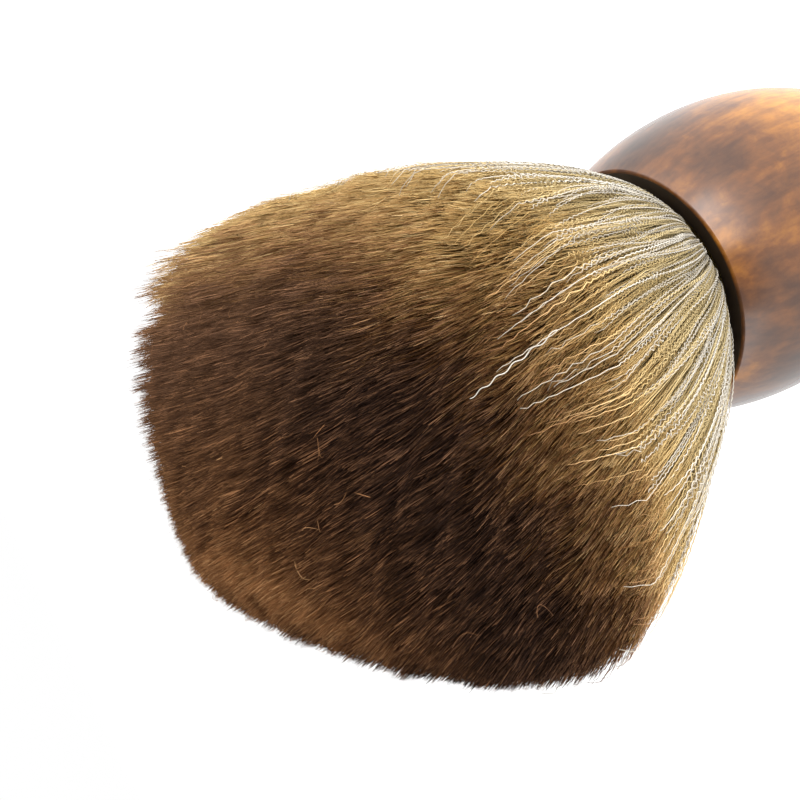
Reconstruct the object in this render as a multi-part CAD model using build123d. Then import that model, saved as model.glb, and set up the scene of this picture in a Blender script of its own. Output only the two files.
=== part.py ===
from build123d import *

import os
from math import asin, cos, degrees, radians, sin

# Neck duster brush: a turned wooden handle that stands on its foot, with a flared oval head of fibres.
# Millimetres, +Z up along the handle towards the fibre tips. The origin is the centre of the foot's flat face.
# X is the thin direction of the oval head and Y is the wide one.

# Handle, turned about Z
HANDLE_LENGTH = 88.0        # foot to mouth
BULB_RADIUS = 22.8          # widest part of the bulb
BULB_HALF_LENGTH = 34.5     # the bulb's outline is an ellipse with this half length along Z
BULB_TO_MOUTH = 19.8        # widest part to mouth
BULB_END_ANGLE = 52.0       # degrees round the ellipse, where it turns into the waist
WAIST_RADIUS = 12.6
WAIST_HEIGHT = 29.0
FOOT_RADIUS = 18.5
FOOT_EDGE = 4.0             # rounding between the foot's side and its flat face
LIP_ROUNDING = 0.3          # the lacquered edge at the mouth

# Cup that holds the fibres, glued in a blind bore in the handle
FLANGE_RADIUS = 18.25
FLANGE_THICKNESS = 1.0
FUNNEL_DEPTH = 1.0          # the flange slopes down to the cup's wall by this much
CUP_RADIUS = 15.5           # inside
CUP_WALL = 1.1
CUP_DEPTH = 22.0
GLUE_GAP = 0.25

# Inside the cup
RESIN_HEIGHT = 10.0
THREAD_RADIUS = 0.2
THREAD_WRAPS = 5
THREAD_HEIGHT = 3.0         # first wrap above the resin
THREAD_PITCH = 0.5

# Head, an oval that opens out from a round root
ROOT_RADIUS = 14.4
HEAD_SIDE = 48.2            # mouth to the rim where the dome begins
HEAD_HALF_THIN = 30.5       # half width along X at the rim
HEAD_HALF_WIDE = 50.0       # half width along Y at the rim
DOME_HEIGHT = 23.4
DOME_FULLNESS = 1.47        # 1 is a cone, 2 is an ellipsoid
FLARE_THIN = 0.53           # the half width grows as this power of the height
FLARE_WIDE = 0.80
FLARE_EASE = 0.02           # share of the height over which the flare turns out from the round root
FLARE_SECTIONS = 11
SECTION_CROWDING = 1.5      # above 1 the sections crowd towards the root, where the flare curves most
DOME_POINTS = 7

# Crimped fibres, on the outside of the head
STRAND_RADIUS = 0.15
STRAND_CLEARANCE = 0.3      # strand's centre to the round bundle
STRAND_LIFT = 0.65          # strand's centre to the flare, measured level
STRAND_BEND = 2.0           # length below the flare over which a strand starts to turn out
STRAND_COUNT = 48
STRAND_SIDES = 4
STRAND_REACHES = (0.62, 0.8, 0.5, 0.92, 0.7, 0.56)  # where each ends, as a share of the flare, in turn
STRAND_RUNS = 7

MOUTH = HANDLE_LENGTH
CUP_FLOOR = MOUTH - CUP_DEPTH
RESIN_TOP = CUP_FLOOR + RESIN_HEIGHT
FLARE_START = MOUTH - FUNNEL_DEPTH
RIM = MOUTH + HEAD_SIDE


def turned(outline):
    """Solid of revolution about Z from a closed outline drawn as radius and height."""
    return revolve(Plane.XZ * make_face(outline), Axis.Z)


def handle_blank():
    """The handle before it is bored: flat foot, waist and elliptical bulb, cut flat at the mouth."""
    foot_flat = FOOT_RADIUS - FOOT_EDGE
    mouth_angle = degrees(asin(BULB_TO_MOUTH / BULB_HALF_LENGTH))
    bulb = EllipticalCenterArc(
        (0, MOUTH - BULB_TO_MOUTH),
        BULB_RADIUS,
        BULB_HALF_LENGTH,
        start_angle=-BULB_END_ANGLE,
        arc_size=BULB_END_ANGLE + mouth_angle,
    )
    waist = Spline(
        (FOOT_RADIUS, FOOT_EDGE),
        (WAIST_RADIUS, WAIST_HEIGHT),
        bulb @ 0,
        tangents=[(0, 1), bulb % 0],
    )
    foot = Line((0, 0), (foot_flat, 0))
    foot_edge = CenterArc((foot_flat, FOOT_EDGE), FOOT_EDGE, -90, 90)
    mouth = Line(bulb @ 1, (0, MOUTH))
    axis = Line((0, MOUTH), (0, 0))
    blank = turned([foot, foot_edge, waist, bulb, mouth, axis])
    rim = blank.edges().filter_by(GeomType.CIRCLE).group_by(Axis.Z)[-1]
    return fillet(rim, LIP_ROUNDING)


def cup_outline(clearance):
    """Outside of the cup as radius and height, grown by a clearance below the flange."""
    wall = CUP_RADIUS + CUP_WALL + clearance
    floor = CUP_FLOOR - CUP_WALL - clearance
    seat = MOUTH - FLANGE_THICKNESS
    return [(0, floor), (wall, floor), (wall, seat - FUNNEL_DEPTH), (FLANGE_RADIUS, seat), (FLANGE_RADIUS, MOUTH)]


def handle_body():
    """Turned wooden handle with a blind bore and a countersunk seat for the cup."""
    bore = turned(Polyline(*cup_outline(GLUE_GAP), (0, MOUTH), close=True))
    return handle_blank() - bore


def fibre_cup():
    """Closed cup with a funnel flange that lies flush in the handle's mouth."""
    inside = [(CUP_RADIUS, MOUTH - FUNNEL_DEPTH), (CUP_RADIUS, CUP_FLOOR), (0, CUP_FLOOR)]
    return turned(Polyline(*cup_outline(0), *inside, close=True))


def cup_adhesive():
    """Film of glue that fills the gap between the cup and the bore."""
    outer = turned(Polyline(*cup_outline(GLUE_GAP), (0, MOUTH), close=True))
    inner = turned(Polyline(*cup_outline(0), (0, MOUTH), close=True))
    return outer - inner


def resin_plug():
    """Disc of resin in the bottom of the cup, which the fibre roots are potted in."""
    return Pos(0, 0, CUP_FLOOR) * Cylinder(
        CUP_RADIUS, RESIN_HEIGHT, align=(Align.CENTER, Align.CENTER, Align.MIN)
    )


def root_binding():
    """Wraps of thread round the fibre bundle, each a separate ring."""
    wrap_radius = (ROOT_RADIUS + STRAND_CLEARANCE + STRAND_RADIUS + CUP_RADIUS) / 2
    wraps = []
    for wrap in range(THREAD_WRAPS):
        height = RESIN_TOP + THREAD_HEIGHT + wrap * THREAD_PITCH
        wraps.append(Pos(0, 0, height) * Torus(wrap_radius, THREAD_RADIUS))
    return Compound(children=wraps)


def flare(share, power):
    """Growth from 0 to 1 over the flare's height, steep at the root and steadier towards the rim."""
    at_root = FLARE_EASE ** power
    return ((share + FLARE_EASE) ** power - at_root) / ((1 + FLARE_EASE) ** power - at_root)


def half_widths(share):
    """Half widths of the head along X and Y at a share of the way from the cup's funnel to the rim."""
    thin = ROOT_RADIUS + (HEAD_HALF_THIN - ROOT_RADIUS) * flare(share, FLARE_THIN)
    wide = ROOT_RADIUS + (HEAD_HALF_WIDE - ROOT_RADIUS) * flare(share, FLARE_WIDE)
    return thin, wide


def flare_height(share):
    return FLARE_START + (RIM - FLARE_START) * share


def head_root():
    """Round bundle from the resin to the foot of the flare."""
    return Pos(0, 0, RESIN_TOP) * Cylinder(
        ROOT_RADIUS, FLARE_START - RESIN_TOP, align=(Align.CENTER, Align.CENTER, Align.MIN)
    )


def head_flare():
    """The head's sides, through ovals that widen from the root circle to the rim."""
    sections = []
    for number in range(FLARE_SECTIONS):
        share = (number / (FLARE_SECTIONS - 1)) ** SECTION_CROWDING
        thin, wide = half_widths(share)
        sections.append(Pos(0, 0, flare_height(share)) * Ellipse(thin, wide))
    return loft(sections)


def head_dome():
    """The trimmed tips: a round dome stretched to the oval rim."""
    outline = []
    for step in range(DOME_POINTS + 1):
        # Even steps of a quarter turn crowd the points where the outline curves most.
        turn = radians(90 * step / DOME_POINTS)
        outline.append((HEAD_HALF_THIN * cos(turn) ** (2 / DOME_FULLNESS),
                        RIM + DOME_HEIGHT * sin(turn) ** (2 / DOME_FULLNESS)))
    outline[-1] = (0, RIM + DOME_HEIGHT)
    top = Spline(*outline, tangents=[(0, 1), (-1, 0)])
    base = Line((0, RIM), outline[0])
    axis = Line(outline[-1], (0, RIM))
    return scale(turned([base, top, axis]), by=(1, HEAD_HALF_WIDE / HEAD_HALF_THIN, 1))


def tipped_fibres():
    """The fibre mass as one closed soft solid."""
    return head_root() + head_flare() + head_dome()


def strand(angle, reach):
    """One crimped fibre, up the bundle from the resin and out along the flare, without its fine crimp."""
    turn = radians(angle)
    out = ROOT_RADIUS + STRAND_CLEARANCE
    foot = (out * cos(turn), out * sin(turn), RESIN_TOP)
    points = [foot, (out * cos(turn), out * sin(turn), FLARE_START - STRAND_BEND)]
    for step in range(STRAND_RUNS + 1):
        share = reach * (step / STRAND_RUNS) ** 2
        thin, wide = half_widths(share)
        points.append((
            (thin + STRAND_LIFT) * cos(turn),
            (wide + STRAND_LIFT) * sin(turn),
            flare_height(share),
        ))
    section = Plane(origin=foot, z_dir=(0, 0, 1)) * RegularPolygon(STRAND_RADIUS, STRAND_SIDES)
    return sweep(section, path=Polyline(*points), transition=Transition.RIGHT)


def crimped_fibres():
    """The white crimped fibres over the root half of the head, evenly spaced."""
    strands = []
    for number in range(STRAND_COUNT):
        reach = STRAND_REACHES[number % len(STRAND_REACHES)]
        strands.append(strand(360 * (number + 0.5) / STRAND_COUNT, reach))
    return Compound(children=strands)


NODES = {
    "handle_body": handle_body,
    "fibre_cup": fibre_cup,
    "cup_adhesive": cup_adhesive,
    "resin_plug": resin_plug,
    "root_binding": root_binding,
    "tipped_fibres": tipped_fibres,
    "crimped_fibres": crimped_fibres,
}

os.makedirs("parts", exist_ok=True)
for name, make in NODES.items():
    export_step(make(), f"parts/{name}.step")
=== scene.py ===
from math import pi, radians

import bpy
import numpy as np
from mathutils import Matrix, Vector


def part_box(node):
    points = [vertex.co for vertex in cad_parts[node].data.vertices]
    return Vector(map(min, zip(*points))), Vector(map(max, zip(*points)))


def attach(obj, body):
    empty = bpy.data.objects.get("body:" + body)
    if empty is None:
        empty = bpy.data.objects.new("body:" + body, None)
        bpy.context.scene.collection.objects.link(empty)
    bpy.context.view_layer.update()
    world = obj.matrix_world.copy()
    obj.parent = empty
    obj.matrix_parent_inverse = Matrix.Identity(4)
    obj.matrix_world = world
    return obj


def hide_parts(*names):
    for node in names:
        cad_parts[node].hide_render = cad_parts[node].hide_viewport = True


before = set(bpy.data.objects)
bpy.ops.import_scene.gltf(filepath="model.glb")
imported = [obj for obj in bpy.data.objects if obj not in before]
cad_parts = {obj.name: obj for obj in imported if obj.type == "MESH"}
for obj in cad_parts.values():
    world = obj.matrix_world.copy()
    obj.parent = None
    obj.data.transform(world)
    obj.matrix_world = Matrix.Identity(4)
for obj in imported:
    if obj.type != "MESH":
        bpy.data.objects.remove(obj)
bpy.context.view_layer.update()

# Neck duster brush, in metres, standing on its foot with +Z along the handle to the fibre tips.
# The handle, the cup and what is inside it are the CAD's own meshes.
# The head is made here from single fibres: closed three-sided tubes, tapered to their tips.
random = np.random.default_rng(11)
MM = 0.001

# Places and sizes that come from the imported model
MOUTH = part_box("fibre_cup")[1].z
HEAD_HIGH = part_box("tipped_fibres")[1]
HALF_THIN = HEAD_HIGH.x
HALF_WIDE = HEAD_HIGH.y
TIP = HEAD_HIGH.z

# The head's form, as in the CAD: a round root that flares to an oval rim, and a dome of trimmed tips
ROOT_RADIUS = 14.4 * MM
ROOT = MOUTH - 1.0 * MM
RIM = MOUTH + 48.2 * MM
DOME_FULLNESS = 1.47
FLARE_THIN = 0.53
FLARE_WIDE = 0.80
FLARE_EASE = 0.02

# What the real head adds to that form: a squarer rim, a slanted trim, a slight lean and an off-centre crown
RIM_SQUARENESS = 3.0                        # 2 is an ellipse
TRIM_SLANT = (4.2 * MM, -5.5 * MM)          # rise of the trim from the axis to the rim along X and Y
LEAN = (-0.7 * MM, -3.0 * MM)
CROWN_SHIFT = (6.6 * MM, -2.6 * MM)

# Fibres
OUTLINE = 0.985                             # depth of the outermost fibres, where 1 is the head's outline
SIDE_LAYERS = 0.09                          # depth over which the side fibres are spread
RIDGE = 0.008                               # change of depth over the low ridges on the sides
CLUMP = 0.005                               # how far side fibres turn towards each other, in radians
TIP_SHOWN = 9 * MM                          # length of each dome fibre that is built
TUFT_SIZE = 1.0 * MM                        # about how wide the tufts are that the tips gather in
TUFT_RISE = 0.45 * MM                       # how far tufts rise or fall all over the dome
LONGEST_TUFT = 5 * MM                       # how far the longest tufts stand out on the rough side
ROUGH_AND_PAINTED_LIGHT_SIDE = radians(215)                   # the way the rougher side of the trim faces, also painted lighter as painted light
STRAND_SIDE = radians(112)                  # the way that the side faces where strands lie over the rim
LOOSE_SIDE = radians(114.5)                 # the way that the loose strand's place on the dome faces
DARK_SIDE = radians(35)                     # the way that the side with the deepest dye faces
FULL_LENGTH = TIP - ROOT + 4 * MM           # the longest fibre, with the slanted trim
FIBRE_UV = "OFBake"                         # UV x is a fibre's own tone, and UV y runs along its dye

# The dye along the fibres: mm over the head's root, then the darkest and the lightest fibre's colour there
DYE = [
    # The straw colour is the fibres' own; its darkening towards the root, at 0 and 9 mm, is painted shade
    # near the cup.
    (0, (0.15, 0.118, 0.066), (0.35, 0.30, 0.20)),
    (9, (0.22, 0.166, 0.078), (0.46, 0.38, 0.225)),
    (20, (0.31, 0.230, 0.100), (0.63, 0.51, 0.28)),
    (32, (0.34, 0.240, 0.096), (0.68, 0.54, 0.29)),
    (44, (0.39, 0.240, 0.083), (0.77, 0.57, 0.27)),
    (47, (0.40, 0.228, 0.080), (0.86, 0.60, 0.30)),
    (50, (0.135, 0.056, 0.018), (0.59, 0.33, 0.150)),
    (53.5, (0.020, 0.008, 0.004), (0.40, 0.205, 0.105)),
    (58, (0.010, 0.005, 0.004), (0.37, 0.184, 0.098)),
    (64, (0.016, 0.007, 0.004), (0.44, 0.210, 0.098)),
    (69, (0.055, 0.022, 0.009), (0.58, 0.280, 0.122)),
    (74, (0.22, 0.092, 0.034), (0.70, 0.400, 0.180)),
]

# The white fibres' colours, from root to end; their darkening at the root is painted shade near the cup
WHITE_DARK = [(0.0, 0.17, 0.155, 0.12), (0.4, 0.38, 0.34, 0.27), (1.0, 0.48, 0.41, 0.31)]
WHITE_LIGHT = [(0.0, 0.29, 0.27, 0.23), (0.4, 0.60, 0.57, 0.51), (1.0, 0.68, 0.62, 0.52)]


# Camera, light and floor

def make_camera():
    """A close view from above the rim of the head, with the brush lying across the picture."""
    right = Vector((0.3303, 0.4841, -0.8103)).normalized()
    up = Vector((-0.9130, -0.0538, -0.4043))
    back = right.cross(up).normalized()
    up = back.cross(right)
    camera = bpy.data.objects.new("camera", bpy.data.cameras.new("camera"))
    camera.data.lens = 45.75
    camera.data.clip_start = 0.005
    turn = Matrix((right, up, back)).transposed().to_4x4()
    camera.matrix_world = Matrix.Translation((-0.0330, 0.1130, MOUTH + 0.0969)) @ turn
    bpy.context.scene.collection.objects.link(camera)
    bpy.context.scene.camera = camera


def make_light(name, place, aim, size, power):
    light = bpy.data.lights.new(name, "AREA")
    light.shape = "DISK"
    light.size = size
    light.energy = power
    item = bpy.data.objects.new(name, light)
    item.location = place
    item.rotation_euler = (Vector(aim) - Vector(place)).to_track_quat("-Z", "Y").to_euler()
    bpy.context.scene.collection.objects.link(item)


def make_studio():
    """White room: a world that looks white and lights less, a pale floor and three soft lights."""
    world = bpy.data.worlds.new("studio")
    world.use_nodes = True
    nodes, links = world.node_tree.nodes, world.node_tree.links
    seen = nodes["Background"]
    seen.inputs["Color"].default_value = (1, 1, 1, 1)
    lighting = nodes.new("ShaderNodeBackground")
    lighting.inputs["Color"].default_value = (1, 1, 1, 1)
    lighting.inputs["Strength"].default_value = 0.45
    path = nodes.new("ShaderNodeLightPath")
    mix = nodes.new("ShaderNodeMixShader")
    links.new(path.outputs["Is Camera Ray"], mix.inputs["Fac"])
    links.new(lighting.outputs["Background"], mix.inputs[1])
    links.new(seen.outputs["Background"], mix.inputs[2])
    links.new(mix.outputs["Shader"], nodes["World Output"].inputs["Surface"])
    bpy.context.scene.world = world
    bpy.context.scene.view_settings.view_transform = "Standard"
    head = (0, 0, 0.11)
    make_light("key", (-0.62, 0.16, 0.30), head, 1.10, 9.6)
    make_light("front", (-0.43, 0.53, 0.09), head, 0.52, 4.2)
    make_light("side", (0.50, 0.34, 0.15), head, 0.60, 2.8)

    mesh = bpy.data.meshes.new("floor")
    half = 3.0
    corners = [(-half, -half, 0), (half, -half, 0), (half, half, 0), (-half, half, 0)]
    mesh.from_pydata(corners, [], [(0, 1, 2, 3)])
    floor = bpy.data.objects.new("floor", mesh)
    bpy.context.scene.collection.objects.link(floor)
    material, nodes, links, shader = new_material("floor_white")
    shader.inputs["Base Color"].default_value = (0.95, 0.95, 0.95, 1)
    shader.inputs["Roughness"].default_value = 0.8
    shader.inputs["Emission Color"].default_value = (1, 1, 1, 1)
    shader.inputs["Emission Strength"].default_value = 0.6
    mesh.materials.append(material)


# Materials

def new_material(name):
    """A node material and its parts: the material, its nodes, its links and its Principled shader."""
    material = bpy.data.materials.new(name)
    material.use_nodes = True
    nodes = material.node_tree.nodes
    return material, nodes, material.node_tree.links, nodes["Principled BSDF"]


def add_ramp(nodes, stops):
    """Colour ramp through (place, red, green, blue) stops."""
    ramp = nodes.new("ShaderNodeValToRGB")
    points = ramp.color_ramp.elements
    while len(points) < len(stops):
        points.new(0.5)
    for point, (place, red, green, blue) in zip(points, stops):
        point.position = place
        point.color = (red, green, blue, 1)
    return ramp


def add_noise(nodes, links, scale, detail, stretch=(1, 1, 1), distortion=0.0):
    """Noise in the object's own space, stretched by a factor along each axis."""
    place = nodes.new("ShaderNodeTexCoord")
    mapping = nodes.new("ShaderNodeMapping")
    mapping.inputs["Scale"].default_value = stretch
    noise = nodes.new("ShaderNodeTexNoise")
    noise.inputs["Scale"].default_value = scale
    noise.inputs["Detail"].default_value = detail
    noise.inputs["Distortion"].default_value = distortion
    links.new(place.outputs["Object"], mapping.inputs["Vector"])
    links.new(mapping.outputs["Vector"], noise.inputs["Vector"])
    return noise


def add_mix(nodes, links, kind, factor, first, second):
    """Blend of two colours, each a socket or an RGB triple. factor is a number or a socket."""
    mix = nodes.new("ShaderNodeMix")
    mix.data_type = "RGBA"
    mix.blend_type = kind
    set_input(links, mix.inputs["Factor"], factor)
    set_input(links, mix.inputs["A"], first)
    set_input(links, mix.inputs["B"], second)
    return mix.outputs["Result"]


def set_input(links, socket, value):
    """Feeds a socket from another socket, an RGB triple or a number."""
    if isinstance(value, bpy.types.NodeSocket):
        links.new(value, socket)
    elif isinstance(value, tuple):
        socket.default_value = (*value, 1)
    else:
        socket.default_value = value


def fibre_material(name, dark, light, roughness, shine):
    """Colour along a fibre by UV y, between dark and light stops by the fibre's own tone in UV x."""
    material, nodes, links, shader = new_material(name)
    place = nodes.new("ShaderNodeUVMap")
    place.uv_map = FIBRE_UV
    split = nodes.new("ShaderNodeSeparateXYZ")
    links.new(place.outputs["UV"], split.inputs["Vector"])
    ends = []
    for stops in (dark, light):
        ramp = add_ramp(nodes, stops)
        links.new(split.outputs["Y"], ramp.inputs["Fac"])
        ends.append(ramp.outputs["Color"])
    links.new(add_mix(nodes, links, "MIX", split.outputs["X"], *ends), shader.inputs["Base Color"])
    shader.inputs["Roughness"].default_value = roughness
    shader.inputs["Specular IOR Level"].default_value = shine
    return material


# Head

def mesh_piece(name, points, quads, triangles, uv, material, replaces):
    """A smooth-shaded mesh object from arrays, riding on the brush."""
    mesh = bpy.data.meshes.new(name)
    mesh.vertices.add(len(points))
    mesh.vertices.foreach_set("co", points.ravel())
    corners = np.concatenate([quads.ravel(), triangles.ravel()])
    mesh.loops.add(len(corners))
    mesh.loops.foreach_set("vertex_index", corners)
    starts = np.concatenate([np.arange(len(quads)) * 4, quads.size + np.arange(len(triangles)) * 3])
    mesh.polygons.add(len(starts))
    mesh.polygons.foreach_set("loop_start", starts)
    mesh.polygons.foreach_set("use_smooth", np.ones(len(starts), bool))
    mesh.update(calc_edges=True)
    mesh.uv_layers.new(name=FIBRE_UV).data.foreach_set("uv", uv[corners].ravel())
    mesh.materials.append(material)
    piece = bpy.data.objects.new(name, mesh)
    bpy.context.scene.collection.objects.link(piece)
    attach(piece, "root")
    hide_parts(replaces)


def tubes(name, centres, radii, tone, dye, material, replaces):
    """Closed three-sided tubes. centres is an array by fibre, ring and axis, radii and dye are by fibre and
    ring, and tone is by fibre."""
    count, rings = radii.shape
    along = np.gradient(centres, axis=1)
    along /= np.linalg.norm(along, axis=2, keepdims=True)
    side = np.cross(along, random.normal(size=(count, 1, 3)))
    side /= np.linalg.norm(side, axis=2, keepdims=True)
    other = np.cross(along, side)
    angle = (2 * pi / 3 * np.arange(3))[:, None]
    ring = np.cos(angle) * side[:, :, None] + np.sin(angle) * other[:, :, None]
    points = centres[:, :, None] + radii[:, :, None, None] * ring
    index = np.arange(count * rings * 3).reshape(count, rings, 3)
    following = np.roll(index, -1, axis=2)
    quads = np.stack([index[:, :-1], following[:, :-1], following[:, 1:], index[:, 1:]], axis=-1)
    ends = np.concatenate([index[:, 0, ::-1], index[:, -1]])
    uv = np.empty((count, rings, 3, 2))
    uv[..., 0] = tone[:, None, None]
    uv[..., 1] = dye[:, :, None]
    points = points.reshape(-1, 3)
    quads = quads.reshape(-1, 4)
    mesh_piece(name, points, quads, ends, uv.reshape(-1, 2), material, replaces)


def in_batches(name, limit, centres, radii, tone, dye, material, replaces):
    """Splits a large set of tubes into pieces of at most limit fibres."""
    for number, start in enumerate(range(0, len(tone), limit), 1):
        part = slice(start, start + limit)
        tubes(f"{name}_{number}", centres[part], radii[part], tone[part], dye[part], material, replaces)


def ripple(around, reach, waves, seed):
    """Smooth noise from about -1 to 1 that varies round the head and along the fibres."""
    source = np.random.default_rng(seed)
    total = np.zeros(np.broadcast(around, reach).shape)
    for turns in waves:
        drift, start = source.normal(0, 2.5), source.uniform(0, 2 * pi)
        total += np.sin(turns * around + drift * reach + start)
    return total / len(waves) ** 0.5


def flare(reach, power):
    """Growth from 0 to 1 along the head's sides, steep at the root and steadier towards the rim."""
    at_root = FLARE_EASE ** power
    return ((reach + FLARE_EASE) ** power - at_root) / ((1 + FLARE_EASE) ** power - at_root)


def head_points(depth, around, reach):
    """Points in the head. depth is 0 on the axis and 1 on the outline, around is an angle, and reach runs
    from 0 at the head's root to 1 at a fibre's tip."""
    thin = ROOT_RADIUS + (HALF_THIN - ROOT_RADIUS) * flare(reach, FLARE_THIN)
    wide = ROOT_RADIUS + (HALF_WIDE - ROOT_RADIUS) * flare(reach, FLARE_WIDE)
    squareness = 2 + (RIM_SQUARENESS - 2) * reach
    cosine, sine = np.cos(around), np.sin(around)
    bulge = (np.abs(cosine) ** squareness + np.abs(sine) ** squareness) ** (-1 / squareness)
    across = depth * bulge * cosine
    along = depth * bulge * sine
    dome = (TIP - RIM) * (1 - np.clip(depth, 0, 1) ** DOME_FULLNESS) ** (1 / DOME_FULLNESS)
    trim = TRIM_SLANT[0] * across + TRIM_SLANT[1] * along
    x = across * thin + LEAN[0] * reach ** 1.5 + CROWN_SHIFT[0] * (1 - depth) * reach
    y = along * wide + LEAN[1] * reach ** 1.5 + CROWN_SHIFT[1] * (1 - depth) * reach
    z = ROOT + (RIM + dome + trim - ROOT) * reach
    return np.stack(np.broadcast_arrays(x, y, z), axis=-1)


def sway(centres, around, amount_level, amount_out):
    """Moves points sideways round the head and outwards by these lengths."""
    level = np.stack([-np.sin(around), np.cos(around), np.zeros_like(around)], axis=-1)
    out = np.stack([np.cos(around), np.sin(around), np.zeros_like(around)], axis=-1)
    return centres + level * amount_level[..., None] + out * amount_out[..., None]


def facing(around, side):
    """1 where the head faces that way, falling to 0 a quarter turn from it and beyond."""
    return np.clip(np.cos(around - side), 0, 1)


def dye_stops(tone):
    """Ramp stops of the darkest dye (tone 1) or the lightest (tone 2)."""
    return [(stop[0] * MM / FULL_LENGTH, *stop[tone]) for stop in DYE]


def dye_at(centres, shift):
    """UV y of points in the head: their height over its root as a share of the longest fibre, shifted."""
    return np.clip((centres[..., 2] - ROOT + shift) / FULL_LENGTH, 0.002, 0.998)


def dye_and_painted_light_shift(around):
    """How much closer to the root the dye starts, round the head: uneven, and deeper on one side. On the
    rougher side it starts further out: painted light.
    """
    uneven = 1.2 * MM * ripple(around, np.zeros((1, 1)), (5, 9, 17, 31), 5)
    # The last term is painted light: the dark band starts further out on the rougher side, as if lit from
    # there.
    return uneven + 5 * MM * facing(around, DARK_SIDE) ** 4 - 3 * MM * facing(around, ROUGH_AND_PAINTED_LIGHT_SIDE) ** 2


def side_ripples(around, reach):
    """How the fibres on the head's sides gather: sideways into strands, and outwards into low ridges."""
    clumps = ripple(around, reach, (23, 41, 67, 97, 151), 3)
    ridges = ripple(around, reach, (37, 71, 113, 173), 4)
    return clumps, ridges


def make_side_fibres(material):
    """The outside of the head, from the cup to the rim: most of each fibre shows."""
    count, rings = 15000, 12
    around = random.uniform(0, 2 * pi, (count, 1))
    layer = random.uniform(0, 1, (count, 1)) ** 1.5
    depth = OUTLINE - SIDE_LAYERS * layer
    rise = tufts(head_points(depth, around, np.ones((1, 1)))[:, -1, :2])[0]
    short = random.uniform(0, 2.0 * MM, (count, 1))
    last = 1 + (LONGEST_TUFT * facing(around, ROUGH_AND_PAINTED_LIGHT_SIDE) * rise ** 3 - short) / (RIM - ROOT)
    reach = np.linspace(0, 1, rings)[None, :] ** 1.3 * last
    clumps, ridges = side_ripples(around, reach)
    centres = head_points(depth + RIDGE * ridges, around + CLUMP * clumps, reach)
    wave = random.uniform(4, 9, (count, 1)) * MM
    phase = random.uniform(0, 2 * pi, (count, 1))
    length = (RIM - ROOT) * reach
    swing = random.gamma(2.0, 0.11 * MM, (count, 1))
    level = swing * np.sin(2 * pi * length / wave + phase)
    out = swing * (np.cos(2 * pi * length / wave * 0.8 + phase) - 1)
    centres = sway(centres, around * np.ones_like(reach), level, out)
    radii = (0.065 * MM) * (1 - 0.75 * (reach / last) ** 4) * random.uniform(0.7, 1.25, (count, 1))
    # Fibres that lie deeper, or in the valleys between ridges, get darker tones as painted shade; the rest
    # of the tone varies at random.
    tone = np.clip(random.beta(1.6, 2.2, count) - 0.25 * layer[:, 0] + 0.16 * ridges[:, 5], 0.01, 0.99)
    shift = dye_and_painted_light_shift(around) + random.normal(0, 2.2 * MM, (count, 1))
    dye = dye_at(centres, shift)
    in_batches("side_fibres", 2700, centres, radii, tone, dye, material, "tipped_fibres")


def make_tip_fibres(material):
    """The trimmed dome: only the last stretch of each fibre shows."""
    count = 110000
    step = np.array([0, 0.55, 1.0])[None, :]
    depth = random.uniform(0, 1.0, (count, 1)) ** 0.5
    around = random.uniform(0, 2 * pi, (count, 1))
    total = (RIM - ROOT) + (TIP - RIM) * (1 - depth ** DOME_FULLNESS) ** (1 / DOME_FULLNESS)
    start = 1 - TIP_SHOWN * (1 - 0.6 * depth ** 8) / total
    rise, tuft_tone, tuft_shift = tufts(head_points(depth, around, np.ones((1, 1)))[:, -1, :2])
    uneven = random.normal(-0.7 * MM, 0.35 * MM, (count, 1))
    uneven += TUFT_RISE * rise + LONGEST_TUFT * facing(around, ROUGH_AND_PAINTED_LIGHT_SIDE) * depth ** 2 * rise ** 3
    reach = start + (1 - start) * step + uneven / total
    centres = head_points(OUTLINE * depth, around, reach)
    centres[:, :, :2] += tuft_shift[:, None] * step[..., None] ** 2 * 0.28
    ends = centres[:, -1, :2] / (3 * MM)
    lean = random.normal(0, 0.40 * MM, (2, count, 1))
    lean[0] += 0.9 * MM * ripple(ends[:, :1], ends[:, 1:], (0.5, 0.9, 1.6), 12)
    lean[1] += 0.9 * MM * ripple(ends[:, :1], ends[:, 1:], (0.6, 1.1, 1.7), 13)
    # Nothing at the rim leans outwards.
    lean[1] -= (np.abs(lean[1]) + lean[1]) * depth ** 8
    centres = sway(centres, around * np.ones_like(reach), lean[0] * step, lean[1] * step)
    radii = np.array([0.047, 0.043, 0.013])[None, :] * MM * random.uniform(0.7, 1.25, (count, 1))
    # Painted light: on the rougher side the fibres are paler and their dark band starts further out, as if
    # lit from there.
    painted_light = facing(around, ROUGH_AND_PAINTED_LIGHT_SIDE) * depth
    tone = random.beta(0.36, 2.5, count) * (0.3 + 1.3 * tuft_tone) + 0.29 * painted_light[:, 0]
    tone = np.clip(tone, 0.004, 0.99)
    shift = dye_and_painted_light_shift(around) - 5 * MM * painted_light ** 4 + random.normal(0, 1.8 * MM, (count, 1))
    dye = dye_at(centres, shift)
    in_batches("tip_fibres", 14000, centres, radii, tone, dye, material, "tipped_fibres")


def tufts(ends):
    """How fibre ends gather in tufts: each tuft's rise (-1 to 1), its tone (0 to 1), and the way from each
    end to its tuft's middle."""
    table = np.random.default_rng(8).uniform(0, 1, (128, 128, 4))
    cell = np.floor(ends / TUFT_SIZE).astype(int)
    own = table[cell[:, 0] % 128, cell[:, 1] % 128]
    middle = (cell + 0.15 + 0.7 * own[:, :2]) * TUFT_SIZE
    return 2 * own[:, 2:3] - 1, own[:, 3], middle - ends


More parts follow.
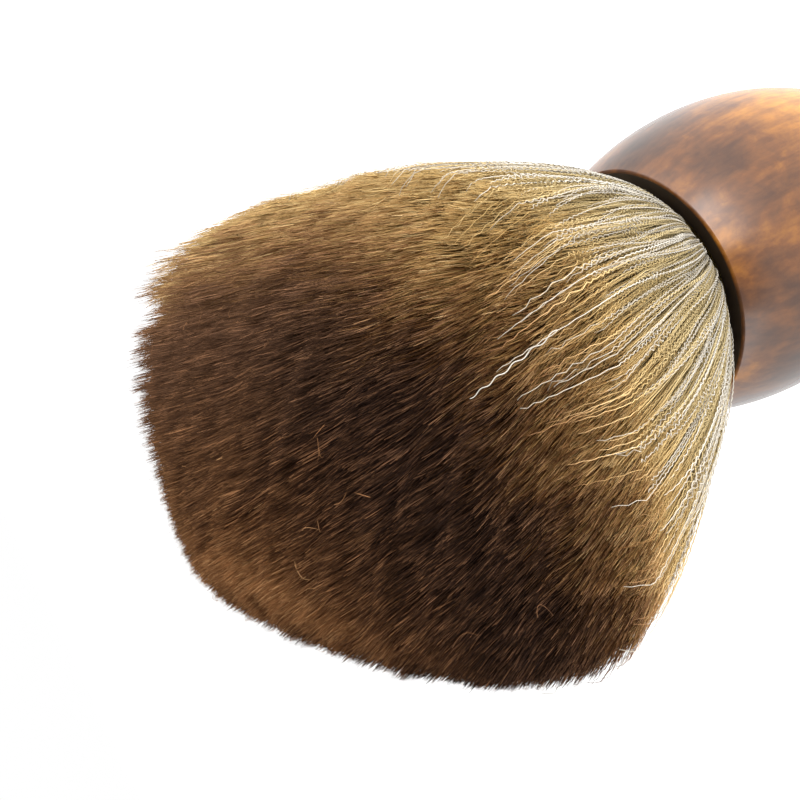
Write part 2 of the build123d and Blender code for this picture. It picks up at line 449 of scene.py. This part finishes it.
def make_crimped_fibres(name, count, lift, thick, white, material, replaces):
    """Wavy fibres on the head's sides, a few of them over the rim. lift and thick are (least, most)."""
    rings = 120
    around = random.uniform(0, 2 * pi, (count, 1))
    end = random.beta(2.8, 1.0, (count, 1)) * 0.66 + 0.36
    # On one side they lie further over the rim.
    end = end + 0.12 * facing(around, STRAND_SIDE) ** 8
    share = np.linspace(0, 1, rings)[None, :]
    run = end * share ** 1.1
    # A fibre follows the side while its run is below 1, and then the edge of the dome.
    reach = np.minimum(run, 1)
    over = np.maximum(run - 1, 0)
    clumps, ridges = side_ripples(around, reach)
    stray = random.normal(0, 0.035, (count, 1)) * run ** 1.5
    stray = stray + 0.03 * ripple(around * 5, run * 1.5, (1, 2, 3), 14) * run
    depth = OUTLINE + RIDGE * ridges * (1 - reach ** 4) - over
    centres = head_points(depth, around + CLUMP * clumps + stray, reach)
    length = (RIM - ROOT) * run * 1.15
    wave = random.uniform(1.1, 1.7, (count, 1)) * MM
    phase = random.uniform(0, 2 * pi, (count, 1)) + 1.6 * ripple(around * 7, run * 9, (1, 2, 3), 7)
    phase = phase + 2 * pi * length / wave
    uneven = 0.5 + 0.5 * ripple(around * 9, run * 4, (1, 2), 15) ** 2
    crimp = random.uniform(0.10, 0.26, (count, 1)) * MM * uneven
    zigzag = crimp * np.arcsin(np.sin(phase)) * 2 / pi
    height = random.uniform(*lift, (count, 1)) * (0.5 + 1.2 * reach) * (1 - share ** 24)
    centres = sway(centres, around * np.ones_like(run), zigzag, height + 0.5 * crimp * np.cos(phase * 0.9))
    centres[..., 2] += height * np.clip(reach - 0.8, 0, 0.2) * 5
    radii = random.uniform(*thick, (count, 1)) * (1 - 0.5 * share ** 6)
    tone = random.uniform(0.05, 0.95, count)
    if white:
        dye = np.clip(share, 0.002, 0.998) * np.ones((count, 1))
    else:
        dye = dye_at(centres, dye_and_painted_light_shift(around))
    in_batches(name, 250, centres, radii, tone, dye, material, replaces)


def make_stray_hairs(material):
    """Curved loose hairs that lie on the dome."""
    count, rings = 40, 16
    step = np.linspace(0, 1, rings)[None, :]
    along = random.uniform(-1, 1, (2, count, 1))
    curl = random.uniform(-1.2, 1.2, (count, 1))
    depth = random.uniform(0.25, 0.92, (count, 1)) + 0.05 * along[0] * step + 0.03 * curl * step ** 2
    turn = random.uniform(0, 2 * pi, (count, 1)) + 0.09 * along[1] * step + 0.07 * curl * np.sin(2.5 * step)
    reach = 1.004 + 0.004 * np.sin(pi * step) * np.ones((count, 1))
    centres = head_points(depth, turn, reach)
    radii = (0.030 * MM) * (1 - 0.5 * step) * np.ones((count, 1))
    tone = random.uniform(0.25, 0.75, count)
    dye = dye_at(centres, 6 * MM)
    in_batches("stray_hairs", count, centres, radii, tone, dye, material, "tipped_fibres")


def make_loose_strand(material):
    """One white strand that has come away from the side and lies across the dome's edge."""
    step = np.linspace(0, 1, 60)[None, :]
    reach = 1.006 + 0.004 * np.sin(pi * step)
    centres = head_points(0.94 - 0.14 * step, LOOSE_SIDE - 0.045 * step, reach)
    crimp = 0.16 * MM * np.sin(2 * pi * 5 * step) * (1 - 0.4 * step)
    centres = sway(centres, LOOSE_SIDE * np.ones_like(step), crimp, 0.3 * crimp)
    radii = (0.065 * MM) * (1 - 0.4 * step ** 4)
    dye = 0.6 * np.ones_like(step)
    tubes("crimped_fibre_loose", centres, radii, np.array([0.9]), dye, material, "crimped_fibres")


def make_core(material):
    """Closed dark core under the fibres, so that no light comes through the head. Its nearly darkest fibre
    tone is painted shade deep in the head.
    """
    turns, levels = 96, 24
    around = np.linspace(0, 2 * pi, turns, endpoint=False)
    side = [(0.88, reach) for reach in np.linspace(0.0, 0.86, levels)]
    dome = [(depth, 0.90) for depth in np.linspace(0.84, 0.04, levels)]
    rows = [head_points(depth, around, reach) for depth, reach in side + dome]
    points = np.array(rows).reshape(-1, 3)
    index = np.arange(len(rows) * turns).reshape(len(rows), turns)
    following = np.roll(index, -1, axis=1)
    quads = np.stack([index[:-1], following[:-1], following[1:], index[1:]], axis=-1).reshape(-1, 4)
    bottom = np.stack([np.full(turns - 2, index[0, 0]), index[0, 2:], index[0, 1:-1]], axis=-1)
    top = np.stack([np.full(turns - 2, index[-1, 0]), index[-1, 1:-1], index[-1, 2:]], axis=-1)
    # Nearly the darkest tone: painted shade deep between the fibres.
    uv = np.stack([np.full(len(points), 0.05), dye_at(points, -1 * MM)], axis=-1)
    mesh_piece("fibre_core", points, quads, np.concatenate([bottom, top]), uv, material, "tipped_fibres")


# Handle and cup

def wood_material():
    """Glossy lacquer over mottled amber and red-brown wood with a fine grain. The side that faces the lamps
    is painted a brighter amber: painted light.
    """
    material, nodes, links, shader = new_material("lacquered_wood")
    patches = add_noise(nodes, links, 60, 2, (1, 1, 0.6), 0.4)
    mottle = add_noise(nodes, links, 260, 6, (1, 1, 0.7), 0.3)
    mottle.inputs["Roughness"].default_value = 0.66
    grain = add_noise(nodes, links, 1100, 4, (1, 1, 0.06), 0.2)
    figure = nodes.new("ShaderNodeMix")
    figure.inputs["Factor"].default_value = 0.35
    links.new(patches.outputs["Fac"], figure.inputs["A"])
    links.new(mottle.outputs["Fac"], figure.inputs["B"])
    place = nodes.new("ShaderNodeTexCoord")
    # Painted light: the side of the bulb towards the lamps moves up the ramp to a brighter amber.
    side = nodes.new("ShaderNodeVectorMath")
    side.operation = "DOT_PRODUCT"
    side.inputs[1].default_value = (-0.75, 0.50, -0.45)
    links.new(place.outputs["Object"], side.inputs[0])
    amber = nodes.new("ShaderNodeMapRange")
    amber.inputs["From Min"].default_value = -0.018
    amber.inputs["From Max"].default_value = -0.009
    amber.inputs["To Min"].default_value = -0.02
    amber.inputs["To Max"].default_value = 0.22
    links.new(side.outputs["Value"], amber.inputs["Value"])
    figure_and_painted_light = nodes.new("ShaderNodeMath")
    figure_and_painted_light.operation = "ADD"
    links.new(figure.outputs["Result"], figure_and_painted_light.inputs[0])
    links.new(amber.outputs["Result"], figure_and_painted_light.inputs[1])
    ramp = add_ramp(nodes, [
        (0.34, 0.030, 0.011, 0.004),
        (0.47, 0.070, 0.024, 0.006),
        (0.56, 0.130, 0.044, 0.007),
        (0.66, 0.290, 0.108, 0.009),
        (0.80, 0.570, 0.255, 0.013),
    ])
    links.new(figure_and_painted_light.outputs["Value"], ramp.inputs["Fac"])
    streak = add_ramp(nodes, [(0.38, 0.60, 0.53, 0.48), (0.60, 1, 1, 1)])
    links.new(grain.outputs["Fac"], streak.inputs["Fac"])
    colour = add_mix(nodes, links, "MULTIPLY", 0.7, ramp.outputs["Color"], streak.outputs["Color"])
    links.new(colour, shader.inputs["Base Color"])
    shader.inputs["Roughness"].default_value = 0.5
    shader.inputs["Specular IOR Level"].default_value = 0.1
    shader.inputs["Coat Weight"].default_value = 0.8
    shader.inputs["Coat IOR"].default_value = 1.52
    shader.inputs["Coat Roughness"].default_value = 0.24
    return material


def plastic_material():
    """Smooth dark brown plastic with faint moulding mottle."""
    material, nodes, links, shader = new_material("dark_plastic")
    noise = add_noise(nodes, links, 260, 3)
    ramp = add_ramp(nodes, [(0.3, 0.018, 0.010, 0.006), (0.7, 0.040, 0.024, 0.013)])
    links.new(noise.outputs["Fac"], ramp.inputs["Fac"])
    links.new(ramp.outputs["Color"], shader.inputs["Base Color"])
    shader.inputs["Roughness"].default_value = 0.35
    return material


def speckled_material(name, dark, light, scale, roughness):
    """Two-tone noise for the pieces hidden in the handle."""
    material, nodes, links, shader = new_material(name)
    noise = add_noise(nodes, links, scale, 4)
    ramp = add_ramp(nodes, [(0.3, *dark), (0.7, *light)])
    links.new(noise.outputs["Fac"], ramp.inputs["Fac"])
    links.new(ramp.outputs["Color"], shader.inputs["Base Color"])
    shader.inputs["Roughness"].default_value = roughness
    return material


def finish_cad_node(node, material):
    """Gives a CAD mesh its material."""
    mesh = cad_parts[node].data
    mesh.materials.clear()
    mesh.materials.append(material)


make_camera()
make_studio()
finish_cad_node("handle_body", wood_material())
finish_cad_node("fibre_cup", plastic_material())
finish_cad_node("cup_adhesive", speckled_material("glue", (0.45, 0.36, 0.20), (0.6, 0.5, 0.3), 300, 0.5))
finish_cad_node("resin_plug", speckled_material("resin", (0.32, 0.2, 0.06), (0.5, 0.34, 0.12), 200, 0.2))
finish_cad_node(
    "root_binding",
    speckled_material("thread", (0.42, 0.37, 0.29), (0.6, 0.55, 0.45), 2500, 0.8),
)

brown = fibre_material("brown_fibre", dye_stops(1), dye_stops(2), 0.5, 0.03)
white = fibre_material("white_fibre", WHITE_DARK, WHITE_LIGHT, 0.4, 0.2)
make_core(brown)
make_side_fibres(brown)
make_tip_fibres(brown)
make_stray_hairs(brown)
make_crimped_fibres(
    "crimped_fibres_white",
    480,
    (0.30 * MM, 0.62 * MM),
    (0.055 * MM, 0.090 * MM),
    True,
    white,
    "crimped_fibres",
)
make_crimped_fibres(
    "crimped_fibres_straw",
    1000,
    (0.05 * MM, 0.40 * MM),
    (0.045 * MM, 0.070 * MM),
    False,
    brown,
    "tipped_fibres",
)
make_loose_strand(white)
